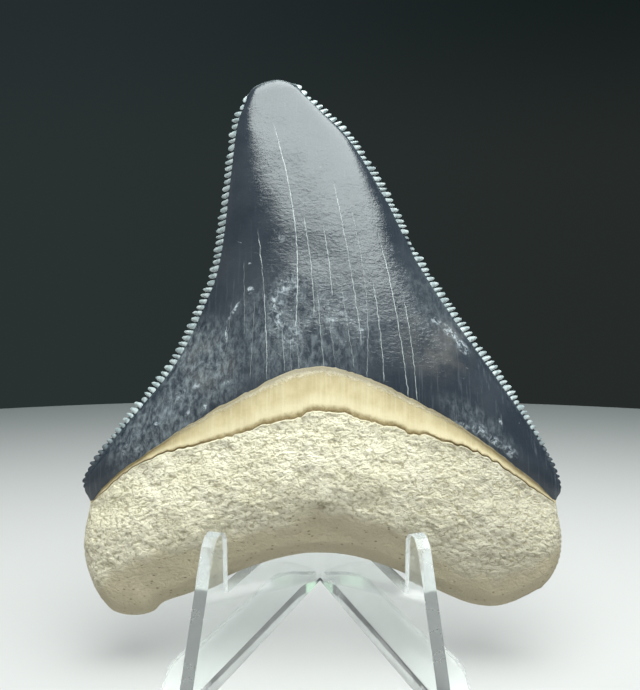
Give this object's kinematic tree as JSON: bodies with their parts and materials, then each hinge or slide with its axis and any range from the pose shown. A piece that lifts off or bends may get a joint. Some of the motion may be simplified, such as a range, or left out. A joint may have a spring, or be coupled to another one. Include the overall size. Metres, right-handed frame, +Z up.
{
  "type": "fossil shark tooth on display easel",
  "caption": "Fossil megalodon tooth with a serrated dark crown and a pale two-lobed root, leaning back in a small clear V-shaped easel.",
  "frame": {"origin": "middle of the whole's bounding box on the ground, under the tooth and easel", "axes": "+Z up, the longest extent; -Y is the way the tooth's display face looks; +X to the right of a viewer facing it"},
  "size_m": [0.0598, 0.0406, 0.0712],
  "materials": {
    "fossil": "glossy enamel crown, matt pitted root",
    "clear_acrylic": "clear, polished"
  },
  "bodies": {
    "root": {"megalodon_tooth": "fossil", "display_easel": "clear_acrylic"}
  },
  "joints": []
}
